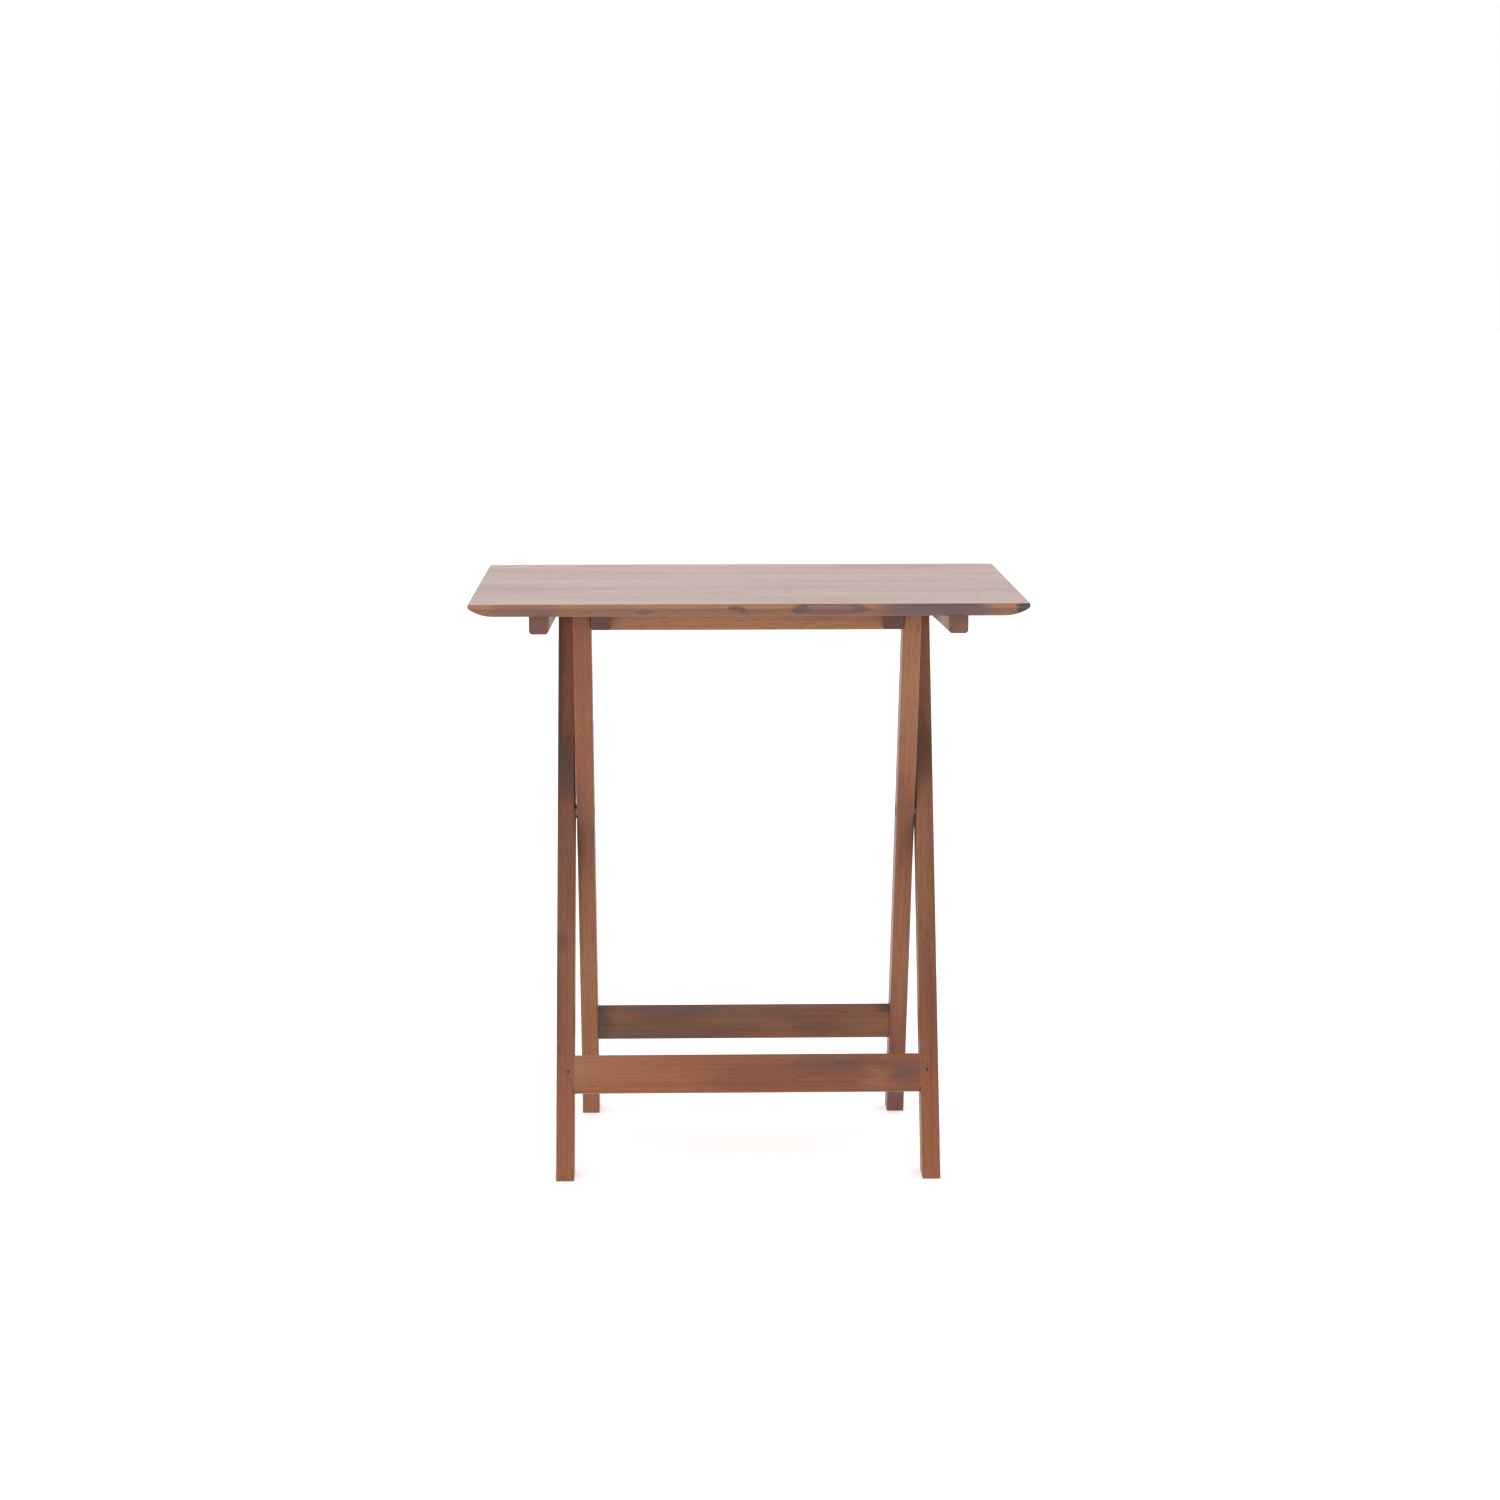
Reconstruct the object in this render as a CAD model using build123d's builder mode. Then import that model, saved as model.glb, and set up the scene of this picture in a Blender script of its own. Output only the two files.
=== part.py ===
from build123d import *
import os
from math import cos, radians, sin, tan

# Folding tray table in solid hardwood.
#
# Frame: millimetres, +Z up, the floor at Z = 0, X left to right, Y front (negative) to back.
# The origin is the middle of the table's footprint on the floor.
#
# Three bodies move on each other:
#   outer frame  - the outer pair of legs (front foot, rear top) and the front stretcher
#   inner frame  - the inner pair of legs (rear foot, front top), back stretcher and top crossbar
#   tabletop     - boards, outer cleats that hinge on the outer legs, latch cleats that
#                  hook over the crossbar of the inner frame

# ---------------------------------------------------------------- driving sizes

table_height = 650.0

# Tabletop: edge-glued boards with a slim upright lip over a crowned under-bevel.
top_width = 600.0
top_depth = 400.0
top_thickness = 16.0
top_lip = 4.0
top_corner_radius = 4.0
top_edge_round = 1.0
bevel_width = 24.0
bevel_crown = 2.0
outer_board_width = 110.0

# Legs: both pairs lean by the same angle and cross at the scissor pivot.
lean = 18.7
foot_spread = 263.0
leg_width = 20.0
leg_depth = 34.0
leg_edge_round = 2.0
foot_chamfer = 0.8
outer_frame_width = 427.0
leg_top_gap = 1.0

# Stretchers, mortised into the legs.
stretcher_thickness = 14.0
stretcher_edge_round = 1.5
stretcher_lower_round = 5.0
front_stretcher_height = 42.0
front_stretcher_rise = 112.0
back_stretcher_height = 39.0
back_stretcher_rise = 128.0
back_stretcher_recess = 3.0
tenon_length = 12.0
tenon_thickness = 7.0
tenon_shoulder = 5.0
peg_diameter = 3.6
peg_overrun = 3.0
peg_inset = 7.0
peg_rise = 3.0

# Top crossbar of the inner frame: the tabletop rests on it and hooks over it.
crossbar_depth = 20.0
crossbar_height = 21.0
crossbar_edge_round = 1.5
crossbar_tenon_height = 12.0
crossbar_tenon_depth = 9.0
crossbar_lead = 17.5

# Outer cleats, under the tabletop outside the outer legs.
cleat_width = 21.0
cleat_length = 346.0
cleat_end_height = 19.5
cleat_pivot_height = 30.0
cleat_flat = 40.0
cleat_lower_round = 4.0

# Latch cleats, under the tabletop just inside the inner legs.
latch_width = 21.0
latch_height = 23.0
latch_bridge = 4.0
latch_hook = 14.0
latch_tail = 16.0
latch_ramp_angle = 40.0
latch_side_gap = 0.9
latch_front_gap = 0.4
latch_back_gap = 0.5
latch_seat_gap = 0.3
latch_edge_round = 0.8

# Pivot bolts, flat washers and sleeve nuts, all sunk below the wood.
bolt_diameter = 8.0
bolt_head_diameter = 14.0
bolt_head_thickness = 3.0
bolt_head_sink = 1.0
bolt_head_gap = 0.6
socket_width = 5.0
socket_depth = 1.8
running_gap = 0.05
washer_diameter = 16.0
washer_thickness = 1.6

# Countersunk wood screws that hold the cleats to the boards.
screw_diameter = 4.0
screw_head_diameter = 7.6
screw_head_gap = 0.3
screw_head_height = 17.0
screw_bite = 10.0
screw_slot_width = 1.2
screw_slot_depth = 0.9

# ---------------------------------------------------------------- derived places

SIDES = (("left", -1), ("right", 1))

lean_cos = cos(radians(lean))
lean_sin = sin(radians(lean))
lean_tan = tan(radians(lean))
foot_y = foot_spread / 2
leg_half_run = leg_depth / 2 / lean_cos

underside_z = table_height - top_thickness
outer_leg_outer_x = outer_frame_width / 2
outer_leg_inner_x = outer_leg_outer_x - leg_width
inner_leg_outer_x = outer_leg_inner_x - washer_thickness
inner_leg_inner_x = inner_leg_outer_x - leg_width
cleat_inner_x = outer_leg_outer_x + washer_thickness
cleat_outer_x = cleat_inner_x + cleat_width
cleat_middle_x = (cleat_inner_x + cleat_outer_x) / 2
latch_outer_x = inner_leg_inner_x - latch_side_gap
latch_inner_x = latch_outer_x - latch_width
latch_middle_x = (latch_outer_x + latch_inner_x) / 2

scissor_z = foot_y / lean_tan
top_pivot_z = underside_z - leg_top_gap - leg_depth / 2
top_pivot_y = top_pivot_z * lean_tan - foot_y
inner_leg_top_z = underside_z - leg_top_gap

crossbar_top_z = underside_z - latch_bridge - latch_seat_gap
crossbar_middle_z = crossbar_top_z - crossbar_height / 2
crossbar_front_y = foot_y - crossbar_middle_z * lean_tan - crossbar_lead
crossbar_back_y = crossbar_front_y + crossbar_depth
crossbar_middle_y = (crossbar_front_y + crossbar_back_y) / 2

latch_notch_z = underside_z - latch_bridge
latch_bottom_z = underside_z - latch_height
latch_hook_back_y = crossbar_front_y - latch_front_gap
latch_front_y = latch_hook_back_y - latch_hook
latch_ramp_top_y = crossbar_back_y + latch_back_gap
latch_ramp_run = (latch_notch_z - latch_bottom_z) * tan(radians(latch_ramp_angle))
latch_ramp_foot_y = latch_ramp_top_y + latch_ramp_run
latch_back_y = latch_ramp_foot_y + latch_tail

head_recess = bolt_head_sink + bolt_head_thickness
head_recess_radius = bolt_head_diameter / 2 + bolt_head_gap
screw_seat_z = underside_z - screw_head_height
screw_tip_z = underside_z + screw_bite

inner_board_width = top_depth / 2 - outer_board_width
board_edges = [
    -top_depth / 2,
    -inner_board_width,
    0.0,
    inner_board_width,
    top_depth / 2,
]
board_middles = [(low + high) / 2 for low, high in zip(board_edges, board_edges[1:])]

# Directions in a frame's own side view: up the leg, and from its front face to its back face.
OUTER_DEPTH = (0, lean_cos, -lean_sin)
INNER_DEPTH = (0, lean_cos, lean_sin)


def outer_leg_point(rise, depth):
    """(y, z) in the outer frame: rise up the leg's centre line, depth towards its back."""
    return (
        rise * lean_sin + depth * lean_cos - foot_y,
        rise * lean_cos - depth * lean_sin,
    )


def inner_leg_point(rise, depth):
    """(y, z) in the inner frame: rise up the leg's centre line, depth towards its back."""
    return (
        foot_y - rise * lean_sin + depth * lean_cos,
        rise * lean_cos + depth * lean_sin,
    )


def low_x(side, near, far):
    """Lowest X of a piece that spans near to far on one side."""
    return min(side * near, side * far)


def section_plane(x, point, depth_direction):
    """Plane across a rail at x: local X runs front to back, local Y up the frame."""
    return Plane(origin=(x, point[0], point[1]), x_dir=depth_direction, z_dir=(1, 0, 0))


def face_plane(x, y, z, facing):
    """Plane on a side face: holes drilled from it run against the facing direction."""
    return Plane(origin=(x, y, z), z_dir=(facing, 0, 0))


os.makedirs("parts", exist_ok=True)


def keep(piece, label):
    """Labels a finished piece and writes it under that name."""
    piece.label = label
    export_step(piece, f"parts/{label}.step")


# ---------------------------------------------------------------- tabletop boards


def latch_screw_places():
    """(y) of the two screws of a latch cleat: one in the hook, one in the tail."""
    hook_y = (latch_front_y + latch_hook_back_y) / 2
    tail_y = (latch_ramp_foot_y + latch_back_y) / 2
    return (hook_y, tail_y)


def screw_places():
    """Every screw's (x, y) under the tabletop: outer cleats first, then latch cleats."""
    outer = [(side * cleat_middle_x, y) for _, side in SIDES for y in board_middles]
    latch = [(side * latch_middle_x, y) for _, side in SIDES for y in latch_screw_places()]
    return outer, latch


outer_screws, latch_screws = screw_places()


def bevel_outline(plane, half_span):
    """Sketch of what the crowned under-bevel cuts away, half_span from the middle."""
    lip_z = table_height - top_lip
    overshoot = 2.0
    with BuildSketch(plane) as outline:
        with BuildLine():
            crown = SagittaArc(
                (half_span, lip_z), (half_span - bevel_width, underside_z), bevel_crown
            )
            outer_end = crown @ 0 - (crown % 0) * overshoot
            inner_end = crown @ 1 + (crown % 1) * overshoot
            Polyline(crown @ 1, inner_end, (outer_end.X, inner_end.Y), outer_end, crown @ 0)
        make_face()
    return outline.sketch


def tabletop_board(front_y, back_y):
    """One board: the whole beveled top, cut to the strip between two seams."""
    with BuildPart() as board:
        with BuildSketch(Plane.XY.offset(underside_z)):
            RectangleRounded(top_width, top_depth, top_corner_radius)
        extrude(amount=top_thickness)
        fillet(board.faces().sort_by(Axis.Z)[-1].edges(), top_edge_round)
        for turn, half_span, run in (
            (0, top_width / 2, top_depth),
            (90, top_depth / 2, top_width),
            (180, top_width / 2, top_depth),
            (270, top_depth / 2, top_width),
        ):
            waste = bevel_outline(Plane.XZ.rotated((0, 0, turn)), half_span)
            extrude(waste, amount=run, both=True, mode=Mode.SUBTRACT)
        split(bisect_by=Plane.XZ, keep=Keep.BOTTOM)
        mirror(about=Plane.XZ)
        for x, y in outer_screws + latch_screws:
            if front_y < y < back_y:
                with Locations((x, y, underside_z)):
                    Cylinder(
                        screw_diameter / 2,
                        screw_bite,
                        align=(Align.CENTER, Align.CENTER, Align.MIN),
                        mode=Mode.SUBTRACT,
                    )
        if front_y > -top_depth / 2:
            split(bisect_by=Plane.XZ.offset(-front_y), keep=Keep.BOTTOM)
        if back_y < top_depth / 2:
            split(bisect_by=Plane.XZ.offset(-back_y), keep=Keep.TOP)
    return board.part


for number, (front_y, back_y) in enumerate(zip(board_edges, board_edges[1:]), start=1):
    keep(tabletop_board(front_y, back_y), f"tabletop_board_{number}")


# ---------------------------------------------------------------- cleats under the tabletop


def cut_screw_holes(places):
    """Countersunk holes from below, with the recess above each head left open."""
    for x, y in places:
        with Locations(Plane(origin=(x, y, screw_seat_z), z_dir=(0, 0, -1))):
            CounterSinkHole(
                radius=screw_diameter / 2,
                counter_sink_radius=screw_head_diameter / 2 + screw_head_gap,
                depth=screw_head_height,
                counter_sink_angle=90,
            )


def outer_cleat(side):
    """Bar along Y, deepest round the pivot bolt, its lower edges well rounded."""
    half_length = cleat_length / 2
    end_z = underside_z - cleat_end_height
    deep_z = underside_z - cleat_pivot_height
    with BuildPart() as cleat:
        with BuildSketch(Plane.YZ.offset(low_x(side, cleat_inner_x, cleat_outer_x))):
            with BuildLine():
                Polyline(
                    (-half_length, underside_z),
                    (half_length, underside_z),
                    (half_length, end_z),
                    (top_pivot_y + cleat_flat / 2, deep_z),
                    (top_pivot_y - cleat_flat / 2, deep_z),
                    (-half_length, end_z),
                    close=True,
                )
            make_face()
        extrude(amount=cleat_width)
        lower_edges = cleat.edges().filter_by(
            lambda edge: edge.center().Z < end_z - 0.01 and edge.length > cleat_flat / 2
            and abs(edge.tangent_at(0.5).X) < 0.5
        )
        fillet(lower_edges, cleat_lower_round)
        cut_screw_holes([(side * cleat_middle_x, y) for y in board_middles])
        with Locations(face_plane(side * cleat_outer_x, top_pivot_y, top_pivot_z, side)):
            CounterBoreHole(
                radius=bolt_diameter / 2,
                counter_bore_radius=head_recess_radius,
                counter_bore_depth=head_recess,
                depth=cleat_width,
            )
    return cleat.part


def latch_cleat(side):
    """Block with a notch, open downwards: upright hook in front, lead-in ramp behind."""
    with BuildPart() as cleat:
        with BuildSketch(Plane.YZ.offset(low_x(side, latch_inner_x, latch_outer_x))):
            with BuildLine():
                Polyline(
                    (latch_front_y, underside_z),
                    (latch_back_y, underside_z),
                    (latch_back_y, latch_bottom_z),
                    (latch_ramp_foot_y, latch_bottom_z),
                    (latch_ramp_top_y, latch_notch_z),
                    (latch_hook_back_y, latch_notch_z),
                    (latch_hook_back_y, latch_bottom_z),
                    (latch_front_y, latch_bottom_z),
                    close=True,
                )
            make_face()
        extrude(amount=latch_width)
        bottom_faces = cleat.faces().filter_by(Axis.Z).group_by(Axis.Z)[0]
        fillet(bottom_faces.edges(), latch_edge_round)
        cut_screw_holes([(side * latch_middle_x, y) for y in latch_screw_places()])
    return cleat.part


def wood_screws(places):
    """Countersunk screws, heads down, as a group of separate solids."""
    head_depth = (screw_head_diameter - screw_diameter) / 2
    with BuildPart() as screws:
        for x, y in places:
            with BuildSketch(Plane.XZ.offset(-y)):
                with BuildLine():
                    Polyline(
                        (x, screw_seat_z),
                        (x + screw_head_diameter / 2, screw_seat_z),
                        (x + screw_diameter / 2, screw_seat_z + head_depth),
                        (x + screw_diameter / 2, screw_tip_z - screw_diameter / 2),
                        (x, screw_tip_z),
                        close=True,
                    )
                make_face()
            revolve(axis=Axis((x, y, 0), (0, 0, 1)))
            with Locations((x, y, screw_seat_z)):
                Box(
                    screw_head_diameter,
                    screw_slot_width,
                    2 * screw_slot_depth,
                    mode=Mode.SUBTRACT,
                )
    return screws.part


for name, side in SIDES:
    keep(outer_cleat(side), f"outer_cleat_{name}")
    keep(latch_cleat(side), f"latch_cleat_{name}")
keep(wood_screws(outer_screws), "outer_cleat_screws")
keep(wood_screws(latch_screws), "latch_cleat_screws")


# ---------------------------------------------------------------- legs


def foot_outline(middle_y, back_tilt):
    """Level foot in side view, back to front, its two edges eased by a small chamfer.

    back_tilt is how far the leg moves back for each unit up.
    """
    back_y = middle_y + leg_half_run
    front_y = middle_y - leg_half_run
    return [
        (back_y + foot_chamfer * back_tilt, foot_chamfer),
        (back_y - foot_chamfer, 0),
        (front_y + foot_chamfer, 0),
        (front_y + foot_chamfer * back_tilt, foot_chamfer),
    ]


def cut_mortise(side, inner_x, point, depth_direction, thickness, height):
    """Blind mortise in a leg's inner face, the size of its tenon."""
    with BuildSketch(section_plane(side * inner_x, point, depth_direction)) as mouth:
        Rectangle(thickness, height)
    extrude(mouth.sketch, amount=side * tenon_length, mode=Mode.SUBTRACT)


def cut_peg_hole(x, peg):
    """Blind hole for a peg, from a leg's face through the tenon."""
    face_point, into, length = peg
    out = [-part for part in into]
    with Locations(Plane(origin=(x, face_point[0], face_point[1]), z_dir=out)):
        Hole(radius=peg_diameter / 2, depth=length)


front_stretcher_point = outer_leg_point(
    front_stretcher_rise, (stretcher_thickness - leg_depth) / 2
)
back_stretcher_point = inner_leg_point(
    back_stretcher_rise, (stretcher_thickness - leg_depth) / 2 + back_stretcher_recess
)
crossbar_point = (crossbar_middle_y, crossbar_middle_z)

# A peg is the point on the leg's face where it goes in, its direction and its length.
front_tenon_end = (stretcher_thickness + tenon_thickness) / 2
back_tenon_end = leg_depth - back_stretcher_recess - (stretcher_thickness - tenon_thickness) / 2
front_peg = (
    outer_leg_point(front_stretcher_rise + peg_rise, -leg_depth / 2),
    OUTER_DEPTH,
    front_tenon_end + peg_overrun,
)
back_peg = (
    inner_leg_point(back_stretcher_rise + peg_rise, leg_depth / 2),
    tuple(-part for part in INNER_DEPTH),
    back_tenon_end + peg_overrun,
)


def square_edge_beside_stretcher(side):
    """Makes a leg's rounded front inner edge square where the flush stretcher meets it."""
    flat_height = front_stretcher_height - stretcher_lower_round - stretcher_edge_round
    flat_rise = front_stretcher_rise + (stretcher_lower_round - stretcher_edge_round) / 2
    corner = outer_leg_point(flat_rise, (leg_edge_round - leg_depth) / 2)
    with BuildSketch(section_plane(side * outer_leg_inner_x, corner, OUTER_DEPTH)) as flat:
        Rectangle(leg_edge_round, flat_height)
    extrude(flat.sketch, amount=side * leg_edge_round)


def outer_leg(side):
    """Leg from the front foot to the rear pivot, rounded off about the pivot."""
    radius = leg_depth / 2
    pivot_rise = top_pivot_z / lean_cos
    foot = foot_outline(-foot_y, lean_tan)
    with BuildPart() as leg:
        with BuildSketch(Plane.YZ.offset(low_x(side, outer_leg_inner_x, outer_leg_outer_x))):
            with BuildLine():
                Polyline(outer_leg_point(pivot_rise, radius), *foot)
                Line(foot[-1], outer_leg_point(pivot_rise, -radius))
                ThreePointArc(
                    outer_leg_point(pivot_rise, -radius),
                    outer_leg_point(pivot_rise + radius, 0),
                    outer_leg_point(pivot_rise, radius),
                )
            make_face()
        extrude(amount=leg_width)
        long_edges = leg.edges().filter_by(Axis((0, 0, 0), (0, lean_sin, lean_cos)))
        fillet(long_edges, leg_edge_round)
        square_edge_beside_stretcher(side)
        cut_mortise(
            side,
            outer_leg_inner_x,
            front_stretcher_point,
            OUTER_DEPTH,
            tenon_thickness,
            front_stretcher_height - 2 * tenon_shoulder,
        )
        cut_peg_hole(side * (outer_leg_inner_x + peg_inset), front_peg)
        with Locations(face_plane(side * outer_leg_outer_x, 0, scissor_z, side)):
            CounterBoreHole(
                radius=bolt_diameter / 2,
                counter_bore_radius=head_recess_radius,
                counter_bore_depth=head_recess,
                depth=leg_width,
            )
        with Locations(face_plane(side * outer_leg_inner_x, top_pivot_y, top_pivot_z, -side)):
            CounterBoreHole(
                radius=bolt_diameter / 2 + running_gap,
                counter_bore_radius=head_recess_radius,
                counter_bore_depth=head_recess,
                depth=leg_width,
            )
    return leg.part


def inner_leg(side):
    """Leg from the rear foot to the front top, cut level at both ends."""
    top_y = foot_y - inner_leg_top_z * lean_tan
    with BuildPart() as leg:
        with BuildSketch(Plane.YZ.offset(low_x(side, inner_leg_inner_x, inner_leg_outer_x))):
            with BuildLine():
                Polyline(
                    *foot_outline(foot_y, -lean_tan),
                    (top_y - leg_half_run, inner_leg_top_z),
                    (top_y + leg_half_run, inner_leg_top_z),
                    close=True,
                )
            make_face()
        extrude(amount=leg_width)
        long_edges = leg.edges().filter_by(Axis((0, 0, 0), (0, -lean_sin, lean_cos)))
        fillet(long_edges, leg_edge_round)
        cut_mortise(
            side,
            inner_leg_inner_x,
            back_stretcher_point,
            INNER_DEPTH,
            tenon_thickness,
            back_stretcher_height - 2 * tenon_shoulder,
        )
        cut_mortise(
            side,
            inner_leg_inner_x,
            crossbar_point,
            (0, 1, 0),
            crossbar_tenon_depth,
            crossbar_tenon_height,
        )
        cut_peg_hole(side * (inner_leg_inner_x + peg_inset), back_peg)
        with Locations(face_plane(side * inner_leg_inner_x, 0, scissor_z, -side)):
            CounterBoreHole(
                radius=bolt_diameter / 2 + running_gap,
                counter_bore_radius=head_recess_radius,
                counter_bore_depth=head_recess,
                depth=leg_width,
            )
    return leg.part


for name, side in SIDES:
    keep(outer_leg(side), f"outer_leg_{name}")
    keep(inner_leg(side), f"inner_leg_{name}")


# ---------------------------------------------------------------- stretchers and crossbar


def rail(point, depth_direction, span, body_size, rounds, tenon_size, peg=None):
    """Rail between the inner faces of two legs, span apart, with a tenon at each end.

    rounds is (general edge radius, front lower edge radius).
    """
    general_round, lower_round = rounds
    with BuildPart() as bar:
        with BuildSketch(section_plane(0, point, depth_direction)) as section:
            Rectangle(*body_size)
            lower_front = section.vertices().group_by(Axis.Y)[0].sort_by(Axis.X)[0]
            others = [v for v in section.vertices() if v != lower_front]
            fillet(lower_front, lower_round)
            fillet(others, general_round)
        extrude(amount=span / 2, both=True)
        with BuildSketch(section_plane(0, point, depth_direction)):
            Rectangle(*tenon_size)
        extrude(amount=span / 2 + tenon_length, both=True)
        if peg:
            for _, side in SIDES:
                cut_peg_hole(side * (span / 2 + peg_inset), peg)
    return bar.part


def pegs(inner_x, peg):
    """Pair of round pegs, one through each tenon, as a group of separate solids."""
    face_point, into, length = peg
    with BuildPart() as pair:
        for _, side in SIDES:
            origin = (side * (inner_x + peg_inset), face_point[0], face_point[1])
            with BuildSketch(Plane(origin=origin, z_dir=into)):
                Circle(peg_diameter / 2)
            extrude(amount=length)
    return pair.part


front_stretcher = rail(
    front_stretcher_point,
    OUTER_DEPTH,
    2 * outer_leg_inner_x,
    (stretcher_thickness, front_stretcher_height),
    (stretcher_edge_round, stretcher_lower_round),
    (tenon_thickness, front_stretcher_height - 2 * tenon_shoulder),
    front_peg,
)
keep(front_stretcher, "front_stretcher")
keep(pegs(outer_leg_inner_x, front_peg), "front_stretcher_pegs")

back_stretcher = rail(
    back_stretcher_point,
    INNER_DEPTH,
    2 * inner_leg_inner_x,
    (stretcher_thickness, back_stretcher_height),
    (stretcher_edge_round, stretcher_edge_round),
    (tenon_thickness, back_stretcher_height - 2 * tenon_shoulder),
    back_peg,
)
keep(back_stretcher, "back_stretcher")
keep(pegs(inner_leg_inner_x, back_peg), "back_stretcher_pegs")

top_crossbar = rail(
    crossbar_point,
    (0, 1, 0),
    2 * inner_leg_inner_x,
    (crossbar_depth, crossbar_height),
    (crossbar_edge_round, crossbar_edge_round),
    (crossbar_tenon_depth, crossbar_tenon_height),
)
keep(top_crossbar, "top_crossbar")


# ---------------------------------------------------------------- pivot hardware


def pivot_bolt(head_x, nut_x, y, z):
    """Flat-headed bolt along X, from its sunk head to the end of its nut's barrel."""
    toward_nut = 1 if nut_x > head_x else -1
    head_top = Plane(origin=(head_x + toward_nut * bolt_head_sink, y, z), z_dir=(toward_nut, 0, 0))
    shank_length = abs(nut_x - head_x) - 2 * bolt_head_sink - socket_depth
    with BuildPart() as bolt:
        with BuildSketch(head_top):
            Circle(bolt_head_diameter / 2)
        extrude(amount=bolt_head_thickness)
        chamfer(bolt.faces().sort_by(Axis.X)[0 if toward_nut > 0 else -1].edges(), 0.4)
        with BuildSketch(head_top):
            Circle(bolt_diameter / 2)
        extrude(amount=shank_length)
        with BuildSketch(head_top):
            RegularPolygon(socket_width / 2, 6, major_radius=False)
        extrude(amount=socket_depth, mode=Mode.SUBTRACT)
    return bolt.part


def pivot_nut(head_x, nut_x, y, z):
    """Round nut sunk in the last piece of wood, its barrel closed by a hex socket."""
    toward_head = 1 if head_x > nut_x else -1
    nut_top = Plane(origin=(nut_x + toward_head * bolt_head_sink, y, z), z_dir=(toward_head, 0, 0))
    with BuildPart() as nut:
        with BuildSketch(nut_top):
            Circle(bolt_head_diameter / 2)
        extrude(amount=bolt_head_thickness)
        chamfer(nut.faces().sort_by(Axis.X)[0 if toward_head > 0 else -1].edges(), 0.4)
        with BuildSketch(nut_top.offset(socket_depth)):
            Circle(bolt_diameter / 2)
        extrude(amount=bolt_head_thickness, mode=Mode.SUBTRACT)
        with BuildSketch(nut_top):
            RegularPolygon(socket_width / 2, 6, major_radius=False)
        extrude(amount=socket_depth, mode=Mode.SUBTRACT)
    return nut.part


def flat_washer(near_x, y, z, facing):
    """Washer between two pieces of wood, from near_x outwards."""
    with BuildPart() as washer:
        with BuildSketch(face_plane(near_x, y, z, facing)):
            Circle(washer_diameter / 2)
            Circle(bolt_diameter / 2, mode=Mode.SUBTRACT)
        extrude(amount=washer_thickness)
    return washer.part


for name, side in SIDES:
    scissor = (side * outer_leg_outer_x, side * inner_leg_inner_x, 0, scissor_z)
    keep(pivot_bolt(*scissor), f"scissor_bolt_{name}")
    keep(pivot_nut(*scissor), f"scissor_nut_{name}")
    keep(flat_washer(side * inner_leg_outer_x, 0, scissor_z, side), f"scissor_washer_{name}")
    top = (side * outer_leg_inner_x, side * cleat_outer_x, top_pivot_y, top_pivot_z)
    keep(pivot_bolt(*top), f"top_pivot_bolt_{name}")
    keep(pivot_nut(*top), f"top_pivot_nut_{name}")
    top_washer = flat_washer(side * outer_leg_outer_x, top_pivot_y, top_pivot_z, side)
    keep(top_washer, f"top_pivot_washer_{name}")

print(f"scissor pivot  y 0.0 z {scissor_z:.3f}")
print(f"top pivot      y {top_pivot_y:.3f} z {top_pivot_z:.3f}")
print(f"crossbar       y {crossbar_front_y:.3f} to {crossbar_back_y:.3f}, top z {crossbar_top_z:.3f}")
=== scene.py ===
import math

import bpy
from mathutils import Euler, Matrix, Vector


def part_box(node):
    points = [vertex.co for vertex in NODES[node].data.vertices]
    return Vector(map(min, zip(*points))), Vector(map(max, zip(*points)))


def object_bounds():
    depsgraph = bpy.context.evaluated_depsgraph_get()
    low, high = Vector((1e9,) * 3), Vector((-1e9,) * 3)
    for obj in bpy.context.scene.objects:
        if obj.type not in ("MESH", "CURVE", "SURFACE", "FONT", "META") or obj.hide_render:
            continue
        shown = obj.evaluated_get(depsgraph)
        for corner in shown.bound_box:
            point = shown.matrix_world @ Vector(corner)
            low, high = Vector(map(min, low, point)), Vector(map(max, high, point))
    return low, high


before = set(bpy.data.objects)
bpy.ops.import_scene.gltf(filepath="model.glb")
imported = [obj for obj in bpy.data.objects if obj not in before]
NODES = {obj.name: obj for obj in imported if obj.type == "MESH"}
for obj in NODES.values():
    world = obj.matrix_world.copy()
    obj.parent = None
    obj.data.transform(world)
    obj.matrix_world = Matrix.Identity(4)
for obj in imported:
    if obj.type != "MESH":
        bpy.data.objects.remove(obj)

CAD_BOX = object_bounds()
LOW, HIGH = CAD_BOX


# ---------------------------------------------------------------- helpers

NOISE_MIDDLE = 0.5


def srgb(red, green, blue):
    """A colour given as 0-255 sRGB, as the linear RGBA that shader sockets take."""
    linear = []
    for channel in (red, green, blue):
        value = channel / 255
        linear.append(value / 12.92 if value <= 0.04045 else ((value + 0.055) / 1.055) ** 2.4)
    return (*linear, 1.0)


def grey(level):
    return (level, level, level, 1.0)


def add(tree, kind, inputs=None, **settings):
    """Adds a shader node; each input is a socket to link or a value to set."""
    node = tree.nodes.new("ShaderNode" + kind)
    for name, value in settings.items():
        setattr(node, name, value)
    for name, value in (inputs or {}).items():
        if isinstance(value, bpy.types.NodeSocket):
            tree.links.new(value, node.inputs[name])
        else:
            node.inputs[name].default_value = value
    return node


def calc(tree, operation, first, second=0.0, clamp=False):
    """Arithmetic on numbers."""
    inputs = {0: first, 1: second}
    return add(tree, "Math", inputs, operation=operation, use_clamp=clamp).outputs[0]


def times(tree, first, second, clamp=False):
    return calc(tree, "MULTIPLY", first, second, clamp)


def plus(tree, first, second, clamp=False):
    return calc(tree, "ADD", first, second, clamp)


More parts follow.
